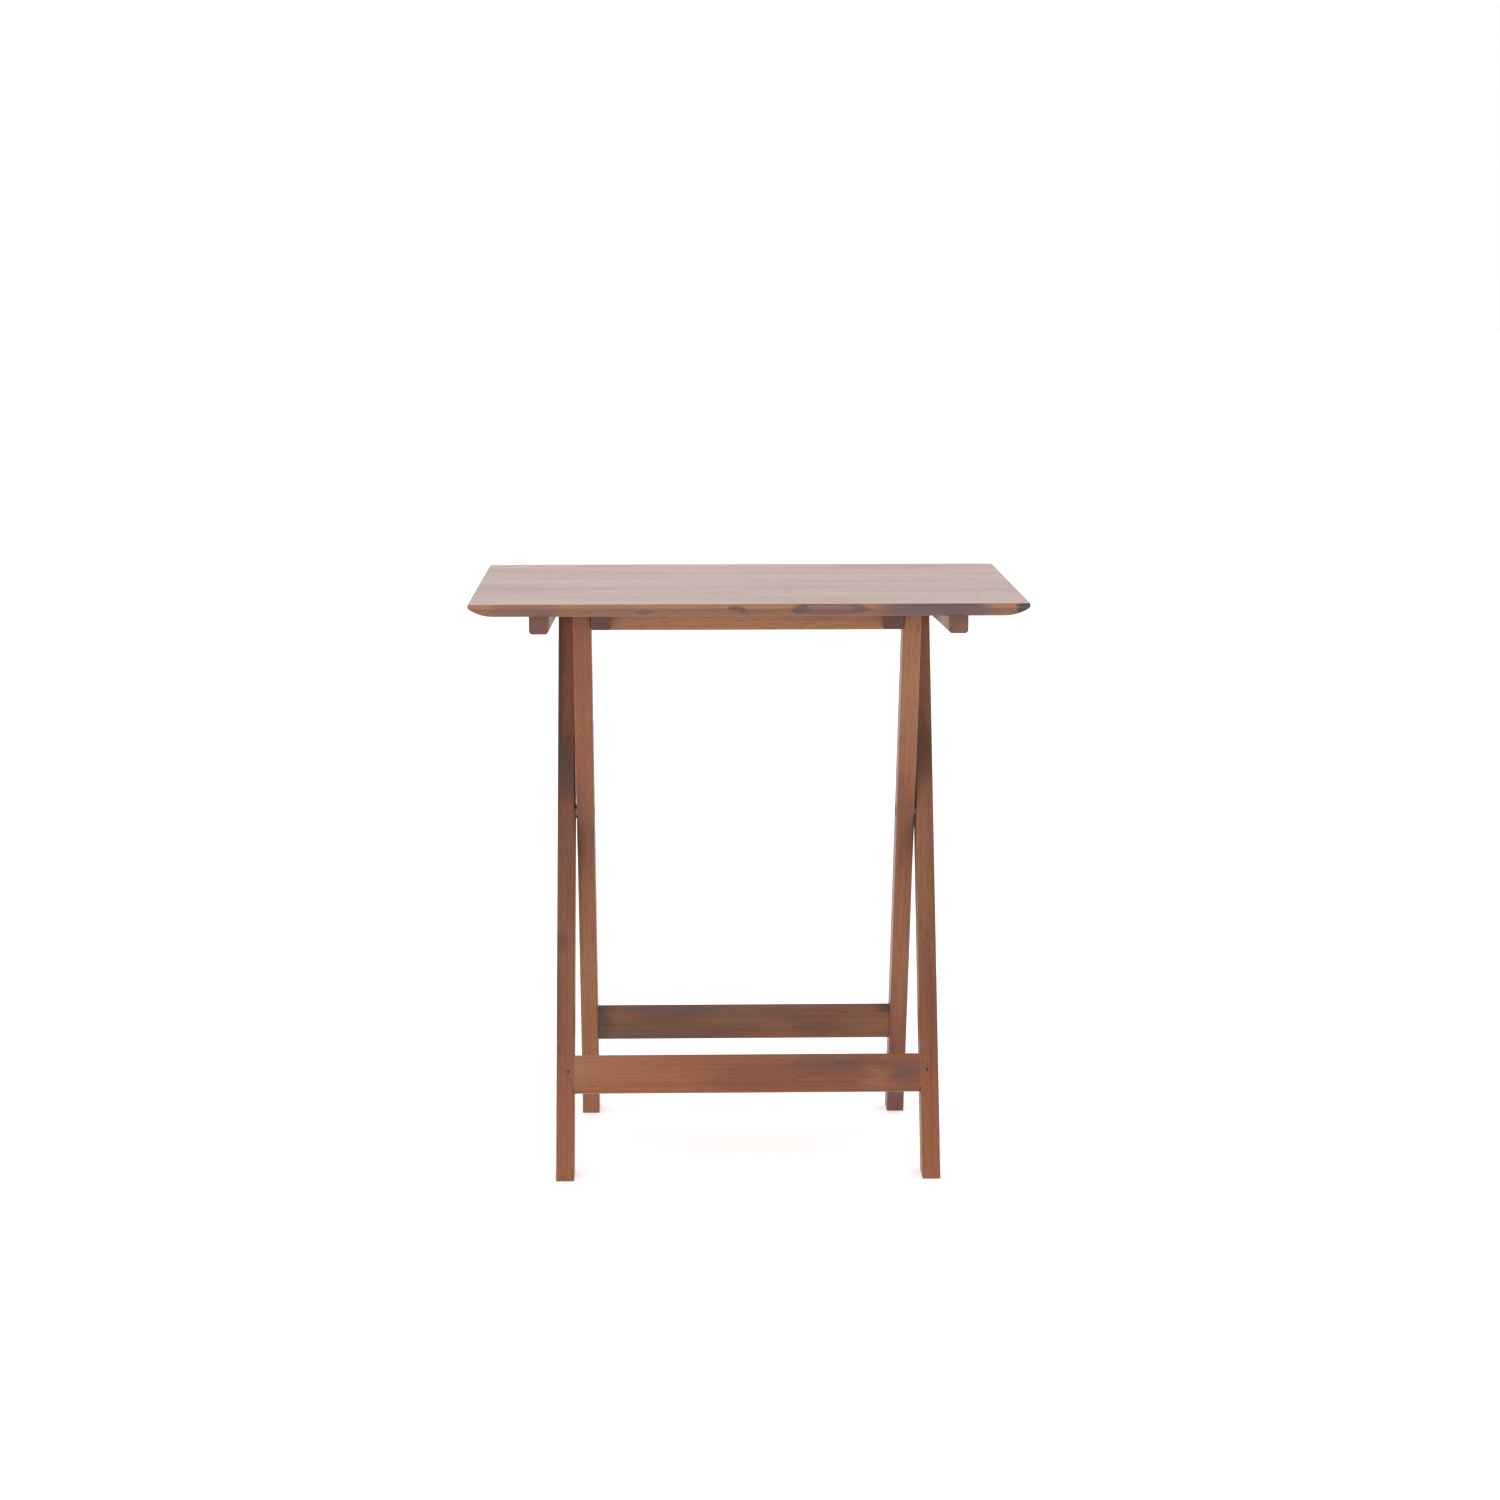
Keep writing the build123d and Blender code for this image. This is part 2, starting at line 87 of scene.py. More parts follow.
def minus(tree, first, second):
    return calc(tree, "SUBTRACT", first, second)


def vector_calc(tree, operation, first, second=None, result=0):
    """Arithmetic on vectors; result picks the Vector or the Value output."""
    inputs = {0: first} if second is None else {0: first, 1: second}
    return add(tree, "VectorMath", inputs, operation=operation).outputs[result]


def axes(tree, place):
    """A vector's X, Y and Z."""
    return add(tree, "SeparateXYZ", {0: place}).outputs


def blend_colour(tree, factor, first, second, mode="MIX"):
    inputs = {0: factor, 6: first, 7: second}
    return add(tree, "Mix", inputs, data_type="RGBA", blend_type=mode).outputs[2]


def tinted(tree, colour, tint):
    """A colour multiplied by a tint of three numbers."""
    return blend_colour(tree, 1.0, colour, (*tint, 1.0), "MULTIPLY")


def step(tree, value, start, end):
    """0 at start, 1 at end, smooth between and level beyond."""
    inputs = {0: value, 1: start, 2: end, 3: 0.0, 4: 1.0}
    node = add(tree, "MapRange", inputs, interpolation_type="SMOOTHSTEP")
    return node.outputs[0]


def ramp(tree, factor, stops):
    """Colour ramp through (position, colour) stops."""
    node = add(tree, "ValToRGB", {0: factor})
    elements = node.color_ramp.elements
    elements.remove(elements[1])
    elements[0].position, elements[0].color = stops[0]
    for position, colour in stops[1:]:
        elements.new(position).color = colour
    return node.outputs[0]


def around_middle(tree, noise_colour):
    """Three channels of noise, moved to lie about zero."""
    return vector_calc(tree, "ADD", noise_colour, (-NOISE_MIDDLE,) * 3)


def stretched_noise(tree, point, across, along, detail=2.0, roughness=0.5):
    """Noise drawn out along the grain: features per metre across and along it."""
    where = vector_calc(tree, "MULTIPLY", point, (across, across, along))
    inputs = {"Vector": where, "Scale": 1.0, "Detail": detail, "Roughness": roughness}
    return add(tree, "TexNoise", inputs, noise_dimensions="3D")


def warp(tree, point, across, along, amount):
    """Pushes a point sideways, across the grain, by up to about amount metres."""
    noise = stretched_noise(tree, point, across, along).outputs["Color"]
    reach = (2 * amount, 2 * amount, 0.0)
    push = vector_calc(tree, "MULTIPLY", around_middle(tree, noise), reach)
    return vector_calc(tree, "ADD", point, push)


def empty_material(name):
    material = bpy.data.materials.new(name)
    material.use_nodes = True
    material.node_tree.nodes.clear()
    return material, material.node_tree


def end_in_shader(tree, inputs):
    """Closes a material with one principled shader."""
    shader = add(tree, "BsdfPrincipled", inputs)
    add(tree, "OutputMaterial", {"Surface": shader.outputs[0]})


def dress(node, material):
    """Puts a material in a CAD node's own slot."""
    for slot in NODES[node].material_slots:
        slot.material = material


# ---------------------------------------------------------------- wood

# How far a leg leans, from its box less the depth of the leg itself.
LEG_DEPTH = 0.034
LEG_LOW, LEG_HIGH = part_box("outer_leg_left")
LEAN = math.atan2(LEG_HIGH.y - LEG_LOW.y - LEG_DEPTH, LEG_HIGH.z - LEG_LOW.z)

# Turns that bring each grain direction onto the texture's own Z.
RIGHT_ANGLE = math.radians(90)
GRAIN_X = (0.0, RIGHT_ANGLE, 0.0)
GRAIN_Y = (RIGHT_ANGLE, 0.0, 0.0)
GRAIN_OUTER_LEG = (LEAN, 0.0, 0.0)
GRAIN_INNER_LEG = (-LEAN, 0.0, 0.0)
GRAIN_FRONT_PEG = (RIGHT_ANGLE + LEAN, 0.0, 0.0)
GRAIN_BACK_PEG = (RIGHT_ANGLE - LEAN, 0.0, 0.0)

AMBER = srgb(146, 94, 62)
RED = srgb(128, 73, 46)
# Heartwood colour, also used as painted shade on the inner legs.
HEARTWOOD_AND_SHADE = srgb(86, 58, 48)
DARK = srgb(72, 44, 36)
PORE = srgb(52, 30, 24)

# Waves of the grain, and the layers of noise laid on it: features per metre across and along.
BOW = dict(across=5.0, along=0.8, amount=0.007)
RIPPLE = dict(across=45.0, along=5.0, amount=0.0009)
PATCHES = dict(across=14.0, along=3.2, detail=3.0)
HEARTWOOD = dict(across=26.0, along=4.5, detail=2.0)
STREAKS = dict(across=110.0, along=3.0, detail=3.0)
FIBRES = dict(across=420.0, along=9.0, detail=3.0, roughness=0.6)
HAIRS = dict(across=1500.0, along=38.0, detail=2.0)
PORES = dict(across=1100.0, along=55.0, detail=1.0)

# Where in each layer's noise its features begin and are full.
PATCH_SOFTNESS = 0.14
HEARTWOOD_EDGE = (0.42, 0.68)
STREAK_EDGE = (0.5, 0.75)
PORE_EDGE = (0.62, 0.72)
END_GRAIN_EDGE = (0.55, 0.9)
WORN_EDGE = (0.02, 0.25)

# How strongly each layer darkens the colour, and the swing of lightness that fibres bring.
HEARTWOOD_COVER = 0.75
STREAK_COVER = 0.3
LATE_WOOD_COVER = 0.15
PORE_COVER = 0.4
FIBRE_SWING = 0.4
HAIR_SWING = 0.16

# Yearly darkness: place in the year and level; and how unevenly the years are spaced.
YEAR = ((0.0, 0.7), (0.08, 1.0), (0.3, 0.3), (0.75, 0.0), (1.0, 0.7))
YEAR_DRIFT = 1.6
YEAR_DRIFT_RATE = 0.55

END_GRAIN_TINT = (0.62, 0.70, 0.95)
WORN_TINT = (1.35, 1.35, 1.35)
WORN_RADIUS = 0.0012
EDGE_SAMPLES = 4
WORN_COVER = 0.6
LEAST_WEAR = 0.1

PORE_ROUGHNESS = 0.18
PATCH_ROUGHNESS = 0.16
END_GRAIN_ROUGHNESS = 0.2
DULL_ROUGHNESS = 0.75

FIBRE_HEIGHT = 0.5
HAIR_HEIGHT = 0.25
LATE_WOOD_DEPTH = 0.15
PORE_DEPTH = 0.6
RELIEF_DEPTH = 0.00018

# Steps in metres from one seed's place in the tree to the next.
SEED_STEP = (0.31, 0.17, 0.37)


def grain_box(node, turn):
    """A CAD node's box in the turned coordinates that its grain runs along Z in."""
    matrix = Euler(turn).to_matrix()
    points = [matrix @ vertex.co for vertex in NODES[node].data.vertices]
    low = [min(point[axis] for point in points) for axis in range(3)]
    high = [max(point[axis] for point in points) for axis in range(3)]
    return low, high


def end_grain_mask(tree, turn):
    """1 where the surface faces along the grain, 0 on the sides."""
    grain = Vector((0, 0, 1))
    grain.rotate(Euler(turn).to_matrix().inverted().to_euler())
    normal = add(tree, "TexCoord").outputs["Normal"]
    facing = vector_calc(tree, "DOT_PRODUCT", normal, tuple(grain), "Value")
    return step(tree, calc(tree, "ABSOLUTE", facing), *END_GRAIN_EDGE)


def edge_mask(tree, radius):
    """1 along sharp edges, where a finish wears first."""
    soft = add(tree, "Bevel", {"Radius": radius}, samples=EDGE_SAMPLES).outputs[0]
    true = add(tree, "NewGeometry").outputs["Normal"]
    alike = vector_calc(tree, "DOT_PRODUCT", soft, true, "Value")
    return step(tree, minus(tree, 1.0, alike), *WORN_EDGE)


def growth_rings(tree, point, pith, ring):
    """Darkness of the late wood in unevenly spaced years, ring metres apart, round a pith."""
    from_pith = vector_calc(tree, "SUBTRACT", point, (*pith, 0.0))
    across = vector_calc(tree, "MULTIPLY", from_pith, (1.0, 1.0, 0.0))
    distance = vector_calc(tree, "LENGTH", across, result="Value")
    years = calc(tree, "DIVIDE", distance, ring)
    inputs = {"W": times(tree, years, YEAR_DRIFT_RATE), "Scale": 1.0, "Detail": 1.0}
    drift = add(tree, "TexNoise", inputs, noise_dimensions="1D").outputs[0]
    season = calc(tree, "FRACT", plus(tree, years, times(tree, drift, YEAR_DRIFT)))
    return ramp(tree, season, [(position, grey(level)) for position, level in YEAR])


def swing(tree, noise, amount):
    """A factor about 1 that follows a noise."""
    return plus(tree, 1.0 - amount / 2, times(tree, noise, amount))


def wood(name, turn, seed, redness=0.5, heart=0.3, tone=(1.0, 1.0, 1.0), pith=(0.05, 0.03),
         ring=0.0045, contrast=1.0, ior=1.38, roughness=0.42, relief=0.5, marks_and_light=None, dull=None):
    """Oiled hardwood: growth rings round a pith, fibres, pores, streaks and end grain.

    redness and heart are the shares of red wood and heartwood. pith is where the rings centre,
    beside the piece's middle, and ring is a year's growth, in metres. The overlay function lays
    marks, and on some pieces painted light and shade, over the colour, and dull says where the
    surface is left matt.
    """
    material, tree = empty_material(name)
    place = add(tree, "TexCoord").outputs["Object"]
    centre = [(low + high) / 2 for low, high in zip(*grain_box(name, turn))]
    shift = [distance * seed for distance in SEED_STEP]
    offset = (shift[0] - centre[0], shift[1] - centre[1], shift[2])
    turned = add(tree, "Mapping", {"Vector": place, "Rotation": turn, "Location": offset})
    point = turned.outputs[0]
    wavy = warp(tree, warp(tree, point, **BOW), **RIPPLE)

    late_wood = growth_rings(tree, wavy, (shift[0] + pith[0], shift[1] + pith[1]), ring)
    patch = stretched_noise(tree, wavy, **PATCHES).outputs[0]
    heartwood = stretched_noise(tree, wavy, **HEARTWOOD).outputs["Color"]
    heartwood = add(tree, "SeparateColor", {0: heartwood}).outputs[1]
    streak = stretched_noise(tree, wavy, **STREAKS).outputs[0]
    fibre = stretched_noise(tree, wavy, **FIBRES).outputs[0]
    hair = stretched_noise(tree, point, **HAIRS).outputs[0]
    pores = step(tree, stretched_noise(tree, wavy, **PORES).outputs[0], *PORE_EDGE)
    end = end_grain_mask(tree, turn)

    # Colour: the mix of woods, its marks and, on some pieces, painted light and shade,
    # then the fine lines and the finish.
    half = PATCH_SOFTNESS / contrast
    mixed = plus(tree, patch, redness - NOISE_MIDDLE)
    reddish = step(tree, mixed, NOISE_MIDDLE - half, NOISE_MIDDLE + half)
    colour = blend_colour(tree, reddish, AMBER, RED)
    dark_patch = step(tree, plus(tree, heartwood, heart - NOISE_MIDDLE), *HEARTWOOD_EDGE)
    cover = times(tree, dark_patch, HEARTWOOD_COVER * contrast)
    colour = blend_colour(tree, cover, colour, HEARTWOOD_AND_SHADE)
    if marks_and_light:
        colour = marks_and_light(tree, colour, place)
    cover = times(tree, step(tree, streak, *STREAK_EDGE), STREAK_COVER * contrast)
    colour = blend_colour(tree, cover, colour, DARK)
    colour = blend_colour(tree, times(tree, late_wood, LATE_WOOD_COVER), colour, DARK)
    shade = times(tree, swing(tree, fibre, FIBRE_SWING), swing(tree, hair, HAIR_SWING))
    shade = add(tree, "CombineColor", {0: shade, 1: shade, 2: shade}).outputs[0]
    colour = blend_colour(tree, 1.0, colour, shade, "MULTIPLY")
    colour = blend_colour(tree, times(tree, pores, PORE_COVER), colour, PORE)
    colour = tinted(tree, colour, tone)
    colour = blend_colour(tree, end, colour, tinted(tree, colour, END_GRAIN_TINT))
    wear = times(tree, edge_mask(tree, WORN_RADIUS), plus(tree, LEAST_WEAR, patch))
    cover = times(tree, wear, WORN_COVER, clamp=True)
    colour = blend_colour(tree, cover, colour, tinted(tree, colour, WORN_TINT))

    rough = plus(tree, roughness, times(tree, pores, PORE_ROUGHNESS))
    rough = plus(tree, rough, times(tree, minus(tree, patch, NOISE_MIDDLE), PATCH_ROUGHNESS))
    rough = plus(tree, rough, times(tree, end, END_GRAIN_ROUGHNESS), clamp=True)
    if dull:
        rough = calc(tree, "MAXIMUM", rough, times(tree, dull(tree, place), DULL_ROUGHNESS))

    height = plus(tree, times(tree, fibre, FIBRE_HEIGHT), times(tree, hair, HAIR_HEIGHT))
    height = minus(tree, height, times(tree, late_wood, LATE_WOOD_DEPTH))
    height = minus(tree, height, times(tree, pores, PORE_DEPTH))
    inputs = {"Strength": relief, "Distance": RELIEF_DEPTH, "Height": height}
    normal = add(tree, "Bump", inputs).outputs[0]

    inputs = {"Base Color": colour, "Roughness": rough, "Normal": normal, "IOR": ior}
    end_in_shader(tree, inputs)
    return material


# ---------------------------------------------------------------- metal

CLOUDS_PER_METRE = 260.0
SCRATCHES_PER_METRE = 2400.0
CLOUD_EDGE = (0.35, 0.75)
CLOUD_LEVEL = 0.62
CLOUD_ROUGHNESS = 0.25
SCRATCH_RELIEF = 0.3
SCRATCH_DEPTH = 0.00004


def plated_steel(name, colour, roughness):
    """Plated steel with fine scratches and slightly uneven plating."""
    material, tree = empty_material(name)
    place = add(tree, "TexCoord").outputs["Object"]
    inputs = {"Vector": place, "Scale": CLOUDS_PER_METRE, "Detail": 3.0}
    cloud = add(tree, "TexNoise", inputs).outputs[0]
    inputs = {"Vector": place, "Scale": SCRATCHES_PER_METRE, "Detail": 2.0}
    scratch = add(tree, "TexNoise", inputs).outputs[0]
    clouded = tuple(CLOUD_LEVEL * channel for channel in colour[:3]) + (1.0,)
    tint = blend_colour(tree, step(tree, cloud, *CLOUD_EDGE), colour, clouded)
    rough = plus(tree, roughness, times(tree, cloud, CLOUD_ROUGHNESS), clamp=True)
    inputs = {"Strength": SCRATCH_RELIEF, "Distance": SCRATCH_DEPTH, "Height": scratch}
    normal = add(tree, "Bump", inputs).outputs[0]
    inputs = {"Base Color": tint, "Metallic": 1.0, "Roughness": rough, "Normal": normal}
    end_in_shader(tree, inputs)
    return material


# ---------------------------------------------------------------- the wood's marks, painted shade and painted shadow

ORANGE = srgb(146, 86, 52)
MAUVE = srgb(88, 64, 64)
SMOKE = srgb(64, 50, 48)
OLIVE = srgb(112, 82, 58)
BLACK = srgb(40, 30, 32)

# Knots and heartwood patches seen from the front, and on the legs and the back stretcher some
# patches of painted shade and painted shadow: the place (x, z) of the middle, half the width
# and height, all in metres, then the tint and how strongly it covers.
FRONT_EDGE_MARKS = (
    (-0.238, 0.643, 0.040, 0.014, MAUVE, 0.45),
    (-0.173, 0.640, 0.010, 0.0035, SMOKE, 0.45),
    (-0.150, 0.643, 0.040, 0.014, OLIVE, 0.45),
    (-0.112, 0.640, 0.010, 0.0035, SMOKE, 0.45),
    (-0.060, 0.637, 0.030, 0.004, OLIVE, 0.40),
    (-0.013, 0.645, 0.010, 0.003, SMOKE, 0.80),
    (-0.005, 0.641, 0.004, 0.003, SMOKE, 0.75),
    (-0.001, 0.637, 0.003, 0.0015, SMOKE, 0.75),
    (0.088, 0.644, 0.044, 0.009, MAUVE, 0.60),
    (0.057, 0.644, 0.009, 0.007, SMOKE, 0.70),
    (0.118, 0.646, 0.009, 0.006, SMOKE, 0.60),
    (0.200, 0.643, 0.066, 0.016, MAUVE, 0.90),
    (0.205, 0.648, 0.050, 0.004, SMOKE, 0.50),
    (0.298, 0.646, 0.011, 0.016, BLACK, 0.95),
)
FRONT_STRETCHER_MARKS = (
    (-0.110, 0.108, 0.070, 0.026, ORANGE, 0.85),
    (0.100, 0.119, 0.062, 0.010, MAUVE, 0.55),
    (0.176, 0.112, 0.022, 0.012, MAUVE, 0.60),
    (0.146, 0.106, 0.018, 0.012, AMBER, 0.60),
)
BACK_STRETCHER_MARKS_AND_SHADOW = (
    # Painted shadow at the left end, beside the leg.
    (-0.169, 0.121, 0.015, 0.030, SMOKE, 0.75),
    (-0.090, 0.134, 0.075, 0.011, MAUVE, 0.60),
    (-0.110, 0.112, 0.070, 0.012, OLIVE, 0.55),
    (0.020, 0.124, 0.070, 0.020, OLIVE, 0.40),
    (0.085, 0.114, 0.040, 0.014, SMOKE, 0.40),
    (0.128, 0.119, 0.015, 0.024, OLIVE, 0.75),
    (0.167, 0.137, 0.010, 0.006, SMOKE, 0.60),
)
OUTER_LEG_LEFT_MARKS_AND_SHADOW = (
    (-0.213, 0.530, 0.007, 0.130, SMOKE, 0.65),
    # Painted shadow cast by the inner leg and its bolt.
    (-0.206, 0.444, 0.013, 0.040, SMOKE, 0.55),
    (-0.214, 0.200, 0.004, 0.060, SMOKE, 0.50),
    (-0.208, 0.252, 0.008, 0.014, HEARTWOOD_AND_SHADE, 0.60),
)
OUTER_LEG_RIGHT_MARKS_AND_SHADOW = (
    # Painted shadow cast by the inner leg and its bolt.
    (0.204, 0.456, 0.016, 0.036, SMOKE, 0.55),
    (0.200, 0.560, 0.006, 0.070, RED, 0.20),
)
# Painted shade near where this inner leg crosses the outer leg.
INNER_LEG_LEFT_PAINTED_SHADE = (
    (-0.182, 0.372, 0.022, 0.055, HEARTWOOD_AND_SHADE, 0.40),
)
# Painted shade near where this inner leg crosses the outer leg.
INNER_LEG_RIGHT_PAINTED_SHADE = (
    (0.182, 0.376, 0.022, 0.055, HEARTWOOD_AND_SHADE, 0.35),
    # Painted shade at this leg's foot.
    (0.182, 0.020, 0.030, 0.080, MAUVE, 0.55),
)

# Raggedness of the marks' edges: features per metre along X, Y and Z.
ALONG_LEG = (130.0, 40.0, 25.0)
ALONG_RAIL = (25.0, 110.0, 110.0)
ALONG_EDGE = (30.0, 110.0, 110.0)
RAGGED_REACH = 0.75

# Where a mark ends and where it is full, in half sizes from its middle.
SOFT = (1.45, 0.25)
CRISP = (1.1, 0.7)


def marked(marks, spread, fade, mask=None):
    """Lays ragged patches over the wood, some of them painted shade and shadow, only where the
    mask lets it.
    """

    def marks_and_light(tree, colour, place):
        inputs = {
            "Vector": vector_calc(tree, "MULTIPLY", place, spread),
            "Detail": 3.0,
            "Scale": 1.0,
        }
        noise = add(tree, "TexNoise", inputs).outputs["Color"]
        reach = tuple(RAGGED_REACH / scale for scale in spread)
        push = vector_calc(tree, "MULTIPLY", around_middle(tree, noise), reach)
        moved = vector_calc(tree, "ADD", place, push)
        cover = mask(tree, place) if mask else None
        for x, z, half_x, half_z, tint, strength in marks:
            away = vector_calc(tree, "SUBTRACT", moved, (x, 0.0, z))
            in_sizes = vector_calc(tree, "MULTIPLY", away, (1 / half_x, 0.0, 1 / half_z))
            far = vector_calc(tree, "LENGTH", in_sizes, result="Value")
            inside = times(tree, step(tree, far, *fade), strength)
            if mask:
                inside = times(tree, inside, cover)
            colour = blend_colour(tree, inside, colour, tint)
        return colour

    return marks_and_light


def front_bevel_mask(tree, place):
    """1 on the front bevel and lip, fading out a few millimetres back over the top."""
    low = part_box("tabletop_board_1")[0]
    rise_weight = 2.0
    depth_fade = (0.040, 0.032)
    setback_fade = (0.030, 0.023)
    y, z = axes(tree, place)[1:]
    setback = minus(tree, y, low.y)
    depth = plus(tree, setback, times(tree, minus(tree, z, low.z), rise_weight))
    return times(tree, step(tree, depth, *depth_fade), step(tree, setback, *setback_fade))


def below_lip_mask(tree, place):
    """1 on the bevel and underside of the top, which are less polished than the top and carry
    painted shade.
    """
    fade_start, fade_end = 0.0030, 0.0060
    return step(tree, axes(tree, place)[2], HIGH.z - fade_start, HIGH.z - fade_end)


def board_marks_and_painted_shade(node):
    """Painted shade on a board's bevel and underside, a fine glue line at its seams, marks on the
    front edge.
    """
    painted_shade_tint = (0.64, 0.66, 0.65)
    glue_fade = (0.0007, 0.0002)
    glue_cover = 0.6

    def marks_and_light(tree, colour, place):
        # Painted shade: everything below the top face is darkened.
        shaded = tinted(tree, colour, painted_shade_tint)
        colour = blend_colour(tree, below_lip_mask(tree, place), colour, shaded)
        low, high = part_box(node)
        y = axes(tree, place)[1]
        for seam in (low.y, high.y):
            if LOW.y < seam < HIGH.y:
                away = calc(tree, "ABSOLUTE", minus(tree, y, seam))
                glue = times(tree, step(tree, away, *glue_fade), glue_cover)
                colour = blend_colour(tree, glue, colour, DARK)
        if low.y == LOW.y:
            marks = marked(FRONT_EDGE_MARKS, ALONG_EDGE, CRISP, front_bevel_mask)
            colour = marks(tree, colour, place)
        return colour

    return marks_and_light


def outer_leg_marks_and_painted_light(marks):
    """Patches on a leg, some of them painted shadow; the leg is also painted paler towards its
    foot, as light from the floor, and browner near its top, partly its tone and partly painted
    light lifting the shade under the top.
    """
    # Painted light: the foot paler as if lit from the floor; the top browner and lighter, partly
    # the wood's tone and partly painted light in the shade under the top.
    painted_foot_light_tint, painted_foot_light_fade = (1.6, 1.65, 1.6), (0.26, -0.03)
    head_tone_and_light_tint, head_tone_and_light_fade = (1.35, 1.80, 2.35), (0.46, 0.60)
    patches = marked(marks, ALONG_LEG, SOFT)

    def marks_and_light(tree, colour, place):
        height = axes(tree, place)[2]
        for tint, fade in ((painted_foot_light_tint, painted_foot_light_fade), (head_tone_and_light_tint, head_tone_and_light_fade)):
            changed = tinted(tree, colour, tint)
            colour = blend_colour(tree, step(tree, height, *fade), colour, changed)
        return patches(tree, colour, place)

    return marks_and_light


# ---------------------------------------------------------------- the table's pieces


def dress_boards():
    """The top's four boards, polished above, matt and painted in shade below."""
    polish = dict(contrast=0.6, ior=1.55, roughness=0.24, relief=0.2, tone=(1.12, 1.1, 1.12))
    boards = {
        "tabletop_board_1": dict(seed=1, redness=0.4, heart=0.2),
        "tabletop_board_2": dict(seed=2, redness=0.55, heart=0.25, pith=(-0.03, -0.09)),
        "tabletop_board_3": dict(seed=3, redness=0.4, heart=0.2, pith=(0.01, 0.08)),
        "tabletop_board_4": dict(seed=4, redness=0.5, heart=0.25, pith=(0.04, -0.07)),
    }
    for node, look in boards.items():
        own = dict(marks_and_light=board_marks_and_painted_shade(node), dull=below_lip_mask)
        dress(node, wood(node, GRAIN_X, ring=0.0058, **polish, **own, **look))


def dress_legs():
    outer = dict(turn=GRAIN_OUTER_LEG, heart=0.3)
    inner = dict(turn=GRAIN_INNER_LEG, heart=0.2, redness=0.45)
    legs = {
        "outer_leg_left": dict(
            seed=11,
            redness=0.6,
            tone=(0.76, 0.75, 0.75),
            marks_and_light=outer_leg_marks_and_painted_light(OUTER_LEG_LEFT_MARKS_AND_SHADOW),
            **outer,
        ),
        "outer_leg_right": dict(
            seed=12,
            redness=0.55,
            tone=(0.80, 0.80, 0.80),
            marks_and_light=outer_leg_marks_and_painted_light(OUTER_LEG_RIGHT_MARKS_AND_SHADOW),
            **outer,
        ),
        "inner_leg_left": dict(
            seed=13,
            tone=(1.06, 1.12, 1.22),
            marks_and_light=marked(INNER_LEG_LEFT_PAINTED_SHADE, ALONG_LEG, SOFT),
            **inner,
        ),
        "inner_leg_right": dict(
            seed=14,
            tone=(1.0, 1.04, 1.12),
            marks_and_light=marked(INNER_LEG_RIGHT_PAINTED_SHADE, ALONG_LEG, SOFT),
            **inner,
        ),
    }
    for node, look in legs.items():
        dress(node, wood(node, **look))


def dress_rails():
    rails = {
        "front_stretcher": dict(
            seed=21,
            redness=0.6,
            heart=0.25,
            marks_and_light=marked(FRONT_STRETCHER_MARKS, ALONG_RAIL, SOFT),
        ),
        "back_stretcher": dict(
            seed=22,
            redness=0.4,
            heart=0.45,
            tone=(0.92, 0.94, 0.95),
            marks_and_light=marked(BACK_STRETCHER_MARKS_AND_SHADOW, ALONG_RAIL, SOFT),
        ),
        # The crossbar's pale tone is painted light, the bar lit from below.
        "top_crossbar": dict(seed=23, redness=0.3, heart=0.1, tone=(1.32, 1.46, 1.7)),
    }
    for node, look in rails.items():
        dress(node, wood(node, GRAIN_X, pith=(0.06, 0.04), **look))


def dress_cleats():
    cleats = {
        "outer_cleat_left": dict(seed=31, heart=0.4, tone=(1.05, 1.1, 1.2)),
        "outer_cleat_right": dict(seed=32, heart=0.4, tone=(1.1, 1.15, 1.3)),
        "latch_cleat_left": dict(seed=33, heart=0.5, tone=(1.1, 1.12, 1.2)),
        "latch_cleat_right": dict(seed=34, heart=0.5),
    }
    finish = dict(redness=0.6, ior=1.5, roughness=0.34)
    for node, look in cleats.items():
        dress(node, wood(node, GRAIN_Y, pith=(0.04, 0.05), **finish, **look))


def dress_pegs():
    pegs = {
        "front_stretcher_pegs": dict(turn=GRAIN_FRONT_PEG, seed=41),
        "back_stretcher_pegs": dict(turn=GRAIN_BACK_PEG, seed=42),
    }
    for node, look in pegs.items():
        dress(node, wood(node, heart=0.7, tone=(0.8, 0.6, 0.5), **look))


def dress_hardware():
    zinc = plated_steel("zinc", srgb(196, 194, 188), roughness=0.28)
    yellow_zinc = plated_steel("yellow_zinc", srgb(206, 178, 112), roughness=0.3)
    for side in ("left", "right"):
        for pivot in ("scissor", "top_pivot"):
            for hardware in ("bolt", "nut", "washer"):
                dress(f"{pivot}_{hardware}_{side}", zinc)
    dress("outer_cleat_screws", yellow_zinc)
    dress("latch_cleat_screws", yellow_zinc)


# ---------------------------------------------------------------- floor, light, camera

FLOOR_REACH = 30.0
FLOOR_GLOW = 0.38
FLOOR_CLOUDS_PER_METRE = 3.0
FLOOR_SHADES = (0.88, 0.91)
FLOOR_ROUGHNESS = 0.8

KEY_POWER = 12.0
KEY_SIZE = 1.8
KEY_FROM_MIDDLE = Vector((-0.9, -2.6, 1.2))

EYE_X = -0.0757
EYE_IN_FRONT = 3.158
EYE_HEIGHT = 1.033
LOOK_DOWN = math.radians(7.79)
LOOK_RIGHT = math.radians(1.38)
SENSOR_WIDTH = 36.0
FOCAL_LENGTH = 71.8
SHIFT_UP = -0.0667


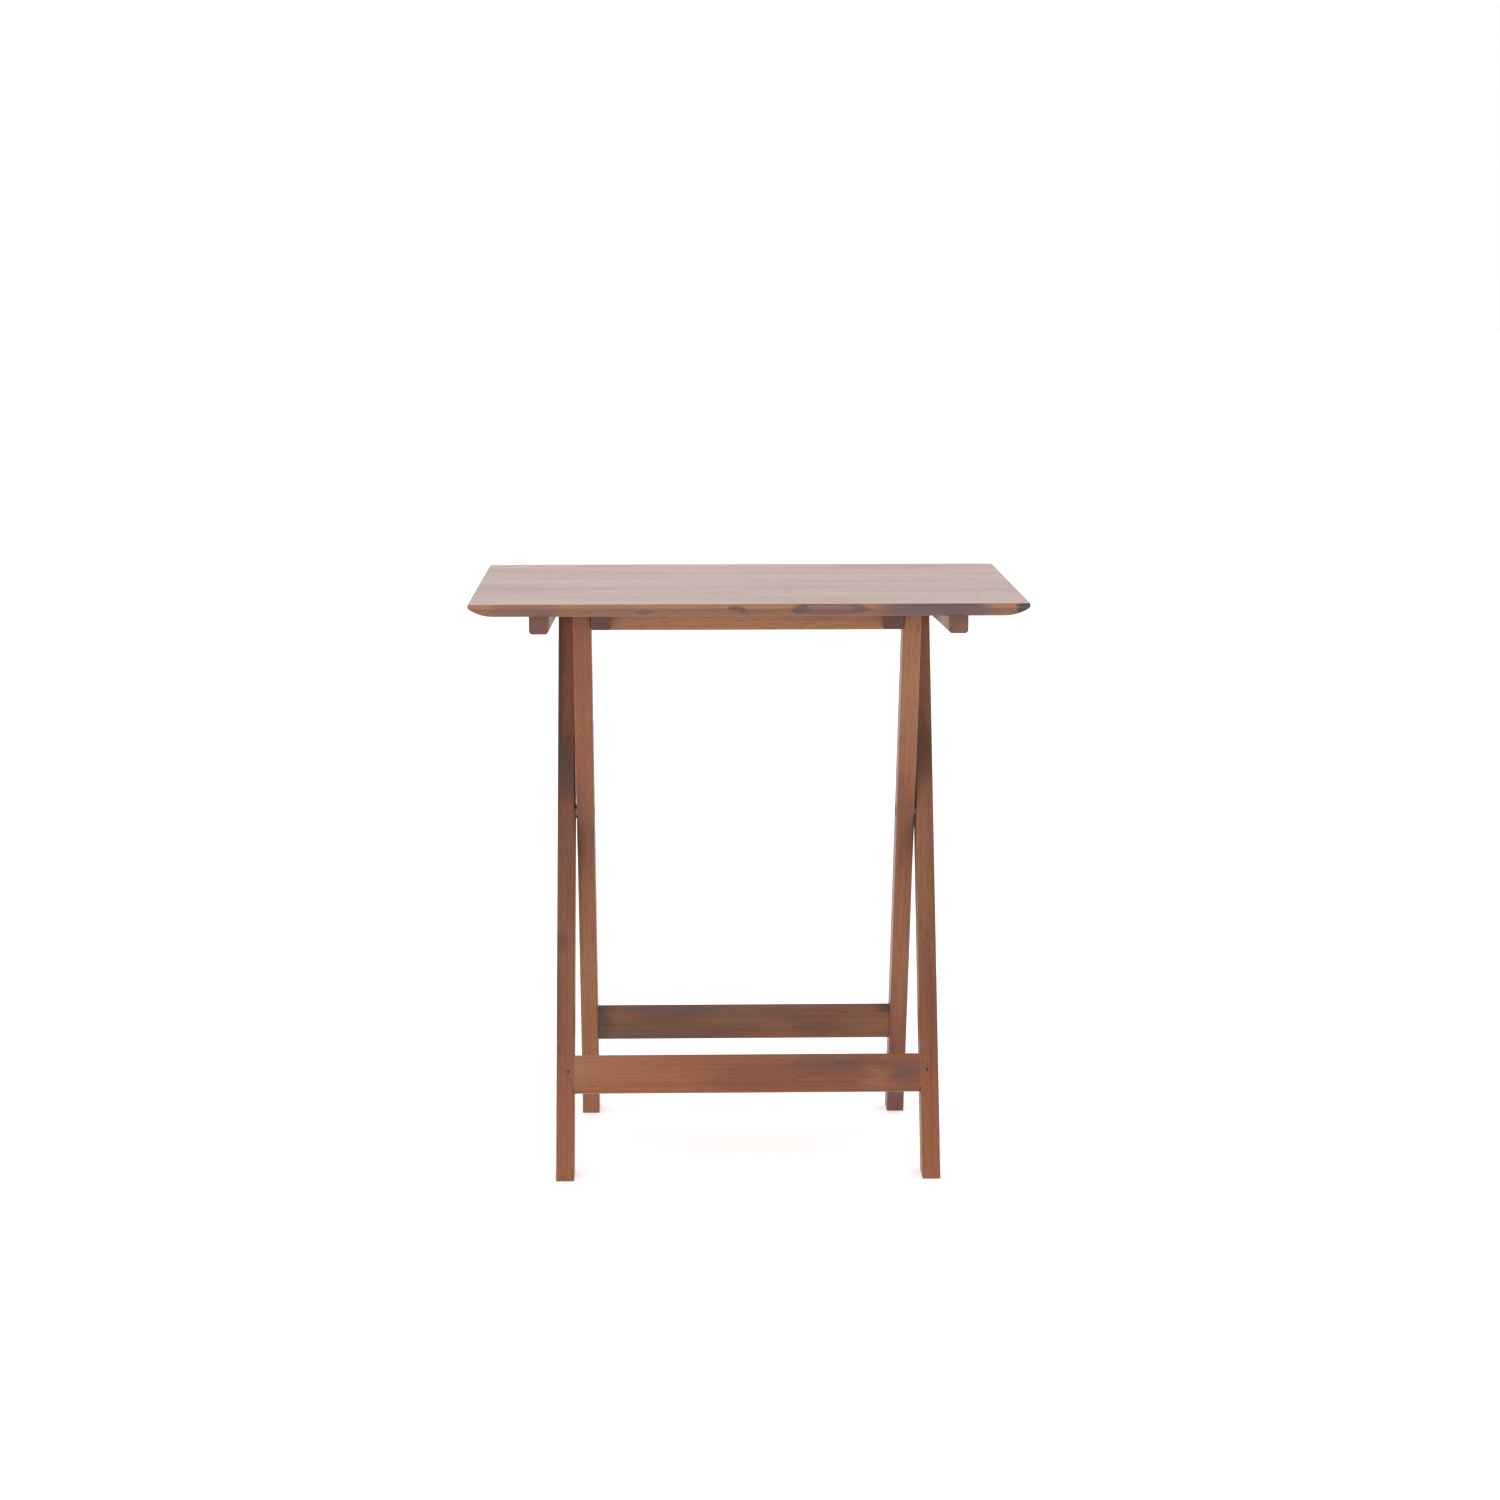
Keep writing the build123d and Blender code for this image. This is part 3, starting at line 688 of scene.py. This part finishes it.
def floor():
    """Large pale floor under the feet, which glows a little so that it comes out white."""
    west, east = -FLOOR_REACH, FLOOR_REACH
    south, north = -FLOOR_REACH, FLOOR_REACH
    mesh = bpy.data.meshes.new("floor")
    corners = [(west, south), (east, south), (east, north), (west, north)]
    mesh.from_pydata([(*corner, LOW.z) for corner in corners], [], [(0, 1, 2, 3)])
    plane = bpy.data.objects.new("floor", mesh)
    bpy.context.scene.collection.objects.link(plane)
    material, tree = empty_material("pale_floor")
    place = add(tree, "TexCoord").outputs["Object"]
    inputs = {"Vector": place, "Scale": FLOOR_CLOUDS_PER_METRE, "Detail": 2.0}
    cloud = add(tree, "TexNoise", inputs).outputs[0]
    darker, paler = FLOOR_SHADES
    inputs = {
        "Base Color": blend_colour(tree, cloud, grey(darker), grey(paler)),
        "Roughness": FLOOR_ROUGHNESS,
        "Emission Color": grey(1.0),
        "Emission Strength": FLOOR_GLOW,
    }
    end_in_shader(tree, inputs)
    mesh.materials.append(material)


def area_light(name, place, aim, size, power):
    data = bpy.data.lights.new(name, "AREA")
    data.shape = "DISK"
    data.size = size
    data.energy = power
    lamp = bpy.data.objects.new(name, data)
    lamp.location = place
    lamp.rotation_euler = (aim - place).to_track_quat("-Z", "Y").to_euler()
    bpy.context.scene.collection.objects.link(lamp)


def lighting():
    """White surroundings with a large soft key light above and in front."""
    world = bpy.data.worlds.new("studio")
    bpy.context.scene.world = world
    world.use_nodes = True
    background = world.node_tree.nodes["Background"]
    background.inputs["Color"].default_value = grey(1.0)
    background.inputs["Strength"].default_value = 1.0
    middle = (LOW + HIGH) / 2
    area_light("key", middle + KEY_FROM_MIDDLE, middle, KEY_SIZE, KEY_POWER)


def camera():
    """Eye-level view of the front, a little from above and from the left."""
    data = bpy.data.cameras.new("camera")
    data.sensor_width = SENSOR_WIDTH
    data.lens = FOCAL_LENGTH
    data.shift_y = SHIFT_UP
    eye = bpy.data.objects.new("camera", data)
    eye.location = Vector((EYE_X, LOW.y - EYE_IN_FRONT, EYE_HEIGHT))
    eye.rotation_euler = (RIGHT_ANGLE - LOOK_DOWN, 0.0, -LOOK_RIGHT)
    bpy.context.scene.collection.objects.link(eye)
    bpy.context.scene.camera = eye


# ---------------------------------------------------------------- the scene


dress_boards()
dress_legs()
dress_rails()
dress_cleats()
dress_pegs()
dress_hardware()

floor()
lighting()
camera()
bpy.context.scene.view_settings.view_transform = "Standard"

bpy.context.view_layer.update()
